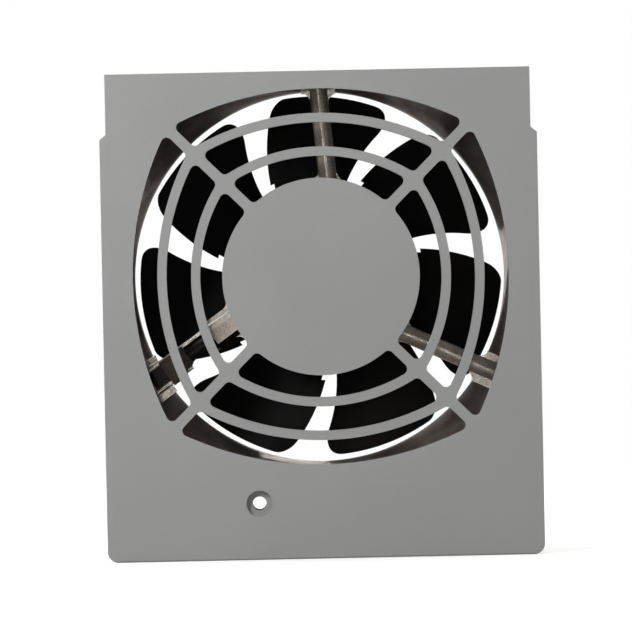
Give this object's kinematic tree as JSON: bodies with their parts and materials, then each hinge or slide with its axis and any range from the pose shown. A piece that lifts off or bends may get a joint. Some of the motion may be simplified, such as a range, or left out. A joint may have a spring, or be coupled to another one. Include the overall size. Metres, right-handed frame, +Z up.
{
  "type": "panel-mounted axial extractor fan",
  "caption": "Compact axial extractor fan in a square die-cast frame, behind a grey moulded grille plate with a closed centre disc, bowed ring bars and diagonal spokes.",
  "frame": {"origin": "on the fan axis, in the rear face of the rear flange: the centre of the square pattern of flange holes", "axes": "+Y along the fan axis towards the rear (the grille faces -Y, and the air leaves through it), +Z up along the plate's long side, +X to the right seen from the front"},
  "size_m": [0.1326, 0.0455, 0.1479],
  "materials": {
    "grey_plastic": "fine matt texture",
    "cast_aluminium": "bare die-cast, sand-textured",
    "bright_steel": "turned",
    "zinc_steel": "zinc plated",
    "bearing_steel": "ground",
    "spring_steel": "blued",
    "cage_brass": "pressed",
    "black_paint": "satin black enamel",
    "core_steel": "laminated",
    "copper_wire": "enamelled winding",
    "ivory_plastic": "moulded",
    "board_laminate": "glass-fibre laminate",
    "wire_sleeve": "wire insulation",
    "black_plastic": "moulded, slight sheen",
    "label_foil": "blank foil"
  },
  "bodies": {
    "housing": {"grille_plate": "grey_plastic", "fan_housing": "cast_aluminium", "bearing_tube": "bright_steel", "fan_fixing_screws": "zinc_steel", "fan_fixing_washers": "zinc_steel", "rear_bearing_outer_ring": "bearing_steel", "rear_bearing_shields": "bright_steel", "front_bearing_outer_ring": "bearing_steel", "front_bearing_shields": "bright_steel", "preload_spring": "spring_steel", "stator_core": "core_steel", "stator_coils": "copper_wire", "shading_rings": "copper_wire", "rear_insulator": "ivory_plastic", "front_insulator": "ivory_plastic", "connection_board": "board_laminate", "lead_wires": "wire_sleeve", "terminal_block": "black_plastic", "terminal_pins": "cage_brass", "cable_cover": "black_plastic", "rating_label": "label_foil"},
    "rotor": {"rear_bearing_inner_ring": "bearing_steel", "front_bearing_inner_ring": "bearing_steel", "spacer_washer": "bright_steel", "circlip": "spring_steel", "shaft": "bearing_steel", "rotor_cup": "black_paint", "rotor_hub": "cast_aluminium", "rotor_core": "core_steel", "rotor_cage": "cast_aluminium", "blade_1": "black_paint", "blade_2": "black_paint", "blade_3": "black_paint", "blade_4": "black_paint", "blade_5": "black_paint", "blade_6": "black_paint", "blade_7": "black_paint"},
    "rear_ball_set": {"rear_bearing_balls": "bearing_steel", "rear_bearing_cage": "cage_brass"},
    "front_ball_set": {"front_bearing_balls": "bearing_steel", "front_bearing_cage": "cage_brass"}
  },
  "joints": [
    {"name": "rotor_spin", "type": "hinge", "parent": "housing", "child": "rotor", "pos_m": [0, -0.02, 0], "axis": [0, 1, 0], "continuous": true},
    {"name": "rear_balls_spin", "type": "hinge", "parent": "housing", "child": "rear_ball_set", "pos_m": [0, -0.0105, 0], "axis": [0, 1, 0], "continuous": true},
    {"name": "front_balls_spin", "type": "hinge", "parent": "housing", "child": "front_ball_set", "pos_m": [0, -0.0325, 0], "axis": [0, 1, 0], "continuous": true}
  ],
  "couplings": [
    {"joint": "rear_balls_spin", "follows": "rotor_spin", "ratio": 0.36},
    {"joint": "front_balls_spin", "follows": "rotor_spin", "ratio": 0.36}
  ]
}
